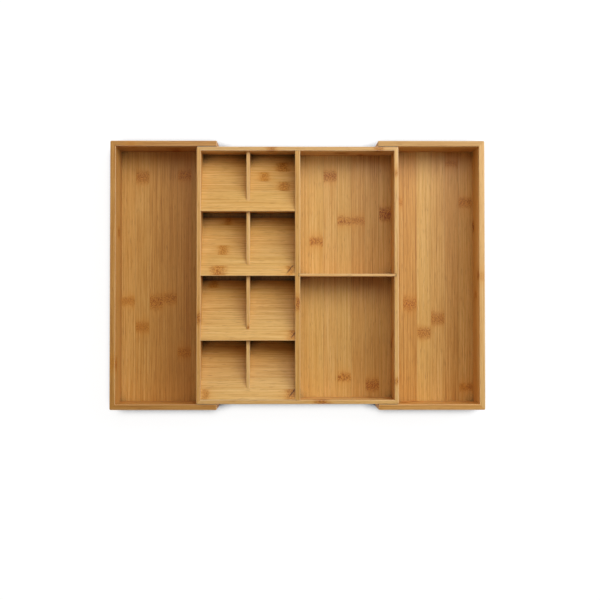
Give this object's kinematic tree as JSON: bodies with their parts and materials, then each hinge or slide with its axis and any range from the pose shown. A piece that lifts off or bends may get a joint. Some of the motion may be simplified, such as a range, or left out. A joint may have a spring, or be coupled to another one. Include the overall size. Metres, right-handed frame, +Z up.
{
  "type": "expanding drawer organizer insert",
  "caption": "Bamboo drawer organizer with sloping cutlery tiers and long compartments; side trays slide out to fit the drawer.",
  "frame": {"origin": "centre of the footprint, on the surface the feet stand on, both side trays drawn out", "axes": "+X to the right along the direction the side trays slide, +Y to the back of the drawer, +Z up"},
  "size_m": [0.511, 0.367, 0.06],
  "materials": {
    "bamboo_centre": "satin lacquer",
    "bamboo_tiers": "satin lacquer",
    "bamboo_side_trays": "satin lacquer",
    "bamboo_divider": "satin lacquer",
    "bamboo_runner": "bare, waxed",
    "rubber_feet": "matt"
  },
  "bodies": {
    "centre_tray": {"center_floor": "bamboo_centre", "center_back_wall": "bamboo_centre", "center_front_wall": "bamboo_centre", "center_left_wall": "bamboo_centre", "center_right_wall": "bamboo_centre", "center_middle_wall": "bamboo_centre", "tier_panel_1": "bamboo_tiers", "tier_panel_2": "bamboo_tiers", "tier_panel_3": "bamboo_tiers", "tier_panel_4": "bamboo_tiers", "tier_riser_1": "bamboo_tiers", "tier_riser_2": "bamboo_tiers", "tier_riser_3": "bamboo_tiers", "tier_divider_1": "bamboo_tiers", "tier_divider_2": "bamboo_tiers", "tier_divider_3": "bamboo_tiers", "tier_divider_4": "bamboo_tiers"},
    "cross_divider": {"cross_divider": "bamboo_divider"},
    "left_tray": {"left_tray_side_wall": "bamboo_side_trays", "left_tray_back_wall": "bamboo_side_trays", "left_tray_front_wall": "bamboo_side_trays", "left_tray_floor": "bamboo_side_trays", "left_runner_front": "bamboo_runner", "left_runner_back": "bamboo_runner", "left_tray_feet": "rubber_feet"},
    "right_tray": {"right_tray_side_wall": "bamboo_side_trays", "right_tray_back_wall": "bamboo_side_trays", "right_tray_front_wall": "bamboo_side_trays", "right_tray_floor": "bamboo_side_trays", "right_runner_front": "bamboo_runner", "right_runner_back": "bamboo_runner", "right_tray_feet": "rubber_feet"}
  },
  "joints": [
    {"name": "left_tray_slide", "type": "slide", "parent": "centre_tray", "child": "left_tray", "axis": [1, 0, 0], "range_m": [0, 0.109]},
    {"name": "right_tray_slide", "type": "slide", "parent": "centre_tray", "child": "right_tray", "axis": [-1, 0, 0], "range_m": [0, 0.109]},
    {"name": "cross_divider_lift", "type": "slide", "parent": "centre_tray", "child": "cross_divider", "axis": [0, 0, 1], "range_m": [0, 0.05]}
  ]
}
